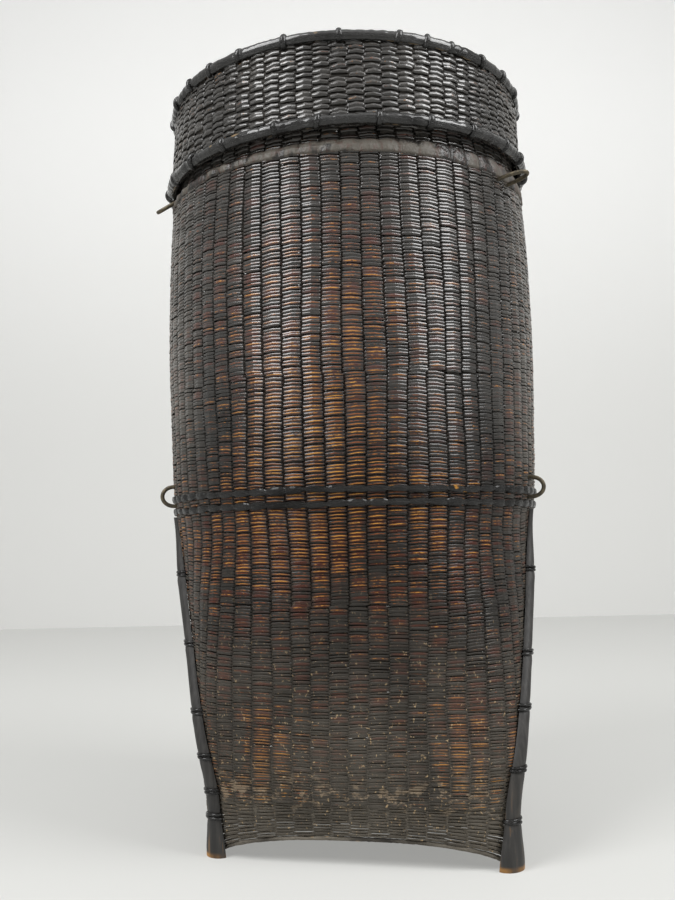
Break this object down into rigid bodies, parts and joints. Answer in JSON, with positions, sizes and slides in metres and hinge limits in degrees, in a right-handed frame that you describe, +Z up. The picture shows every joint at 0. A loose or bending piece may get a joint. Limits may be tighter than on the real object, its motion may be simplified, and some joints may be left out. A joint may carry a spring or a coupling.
{
  "type": "grain storage basket",
  "caption": "Tall close-woven cane basket with a round barrel body on a racked square base, corner legs, wire eyes for a cord and a deep cap lid that lifts off.",
  "frame": {"origin": "on the surface the basket stands on, under the upright axis of its round body", "axes": "+Z up, -Y the side that faces the viewer in the picture, +X to the viewer's right"},
  "size_m": [0.2529, 0.2494, 0.479],
  "materials": {
    "woven_cane": "black-brown lacquered cane weave, worn red-brown on the crests",
    "black_cane": "glossy black split cane",
    "dark_bamboo": "smoke-dark split bamboo, satin",
    "lashing_cane": "thin black cane binding",
    "bare_cane": "bare cane, matte",
    "wire": "dull olive-brown tarnished wire"
  },
  "bodies": {
    "basket": {"basket_floor": "bare_cane", "basket_wall": "woven_cane", "bottom_edge_cane": "black_cane", "leg_back_left": "dark_bamboo", "leg_back_left_lashing_1": "lashing_cane", "leg_back_left_lashing_2": "lashing_cane", "leg_back_left_lashing_3": "lashing_cane", "leg_back_left_lashing_4": "lashing_cane", "leg_back_left_lashing_5": "lashing_cane", "leg_back_right": "dark_bamboo", "leg_back_right_lashing_1": "lashing_cane", "leg_back_right_lashing_2": "lashing_cane", "leg_back_right_lashing_3": "lashing_cane", "leg_back_right_lashing_4": "lashing_cane", "leg_back_right_lashing_5": "lashing_cane", "leg_back_right_lashing_6": "lashing_cane", "leg_front_left": "dark_bamboo", "leg_front_left_lashing_1": "lashing_cane", "leg_front_left_lashing_2": "lashing_cane", "leg_front_left_lashing_3": "lashing_cane", "leg_front_left_lashing_4": "lashing_cane", "leg_front_left_lashing_5": "lashing_cane", "leg_front_left_lashing_6": "lashing_cane", "leg_front_right": "dark_bamboo", "leg_front_right_lashing_1": "lashing_cane", "leg_front_right_lashing_2": "lashing_cane", "leg_front_right_lashing_3": "lashing_cane", "leg_front_right_lashing_4": "lashing_cane", "leg_front_right_lashing_5": "lashing_cane", "lower_band": "black_cane", "middle_eye_left": "wire", "middle_eye_right": "wire", "mouth_hoop_inner": "dark_bamboo", "mouth_hoop_outer": "dark_bamboo", "mouth_lashing": "lashing_cane", "neck_band": "black_cane", "upper_band": "black_cane", "upper_eye_left": "wire", "upper_eye_right": "wire"},
    "lid": {"lid_panel": "woven_cane", "lid_rim_hoop": "black_cane", "lid_rim_lashing": "lashing_cane", "lid_top_hoop": "black_cane", "lid_top_lashing": "lashing_cane", "lid_wall": "woven_cane"}
  },
  "joints": [
    {"name": "lid_lift", "type": "slide", "parent": "basket", "child": "lid", "axis": [0, 0, 1], "range_m": [0, 0.08]}
  ]
}
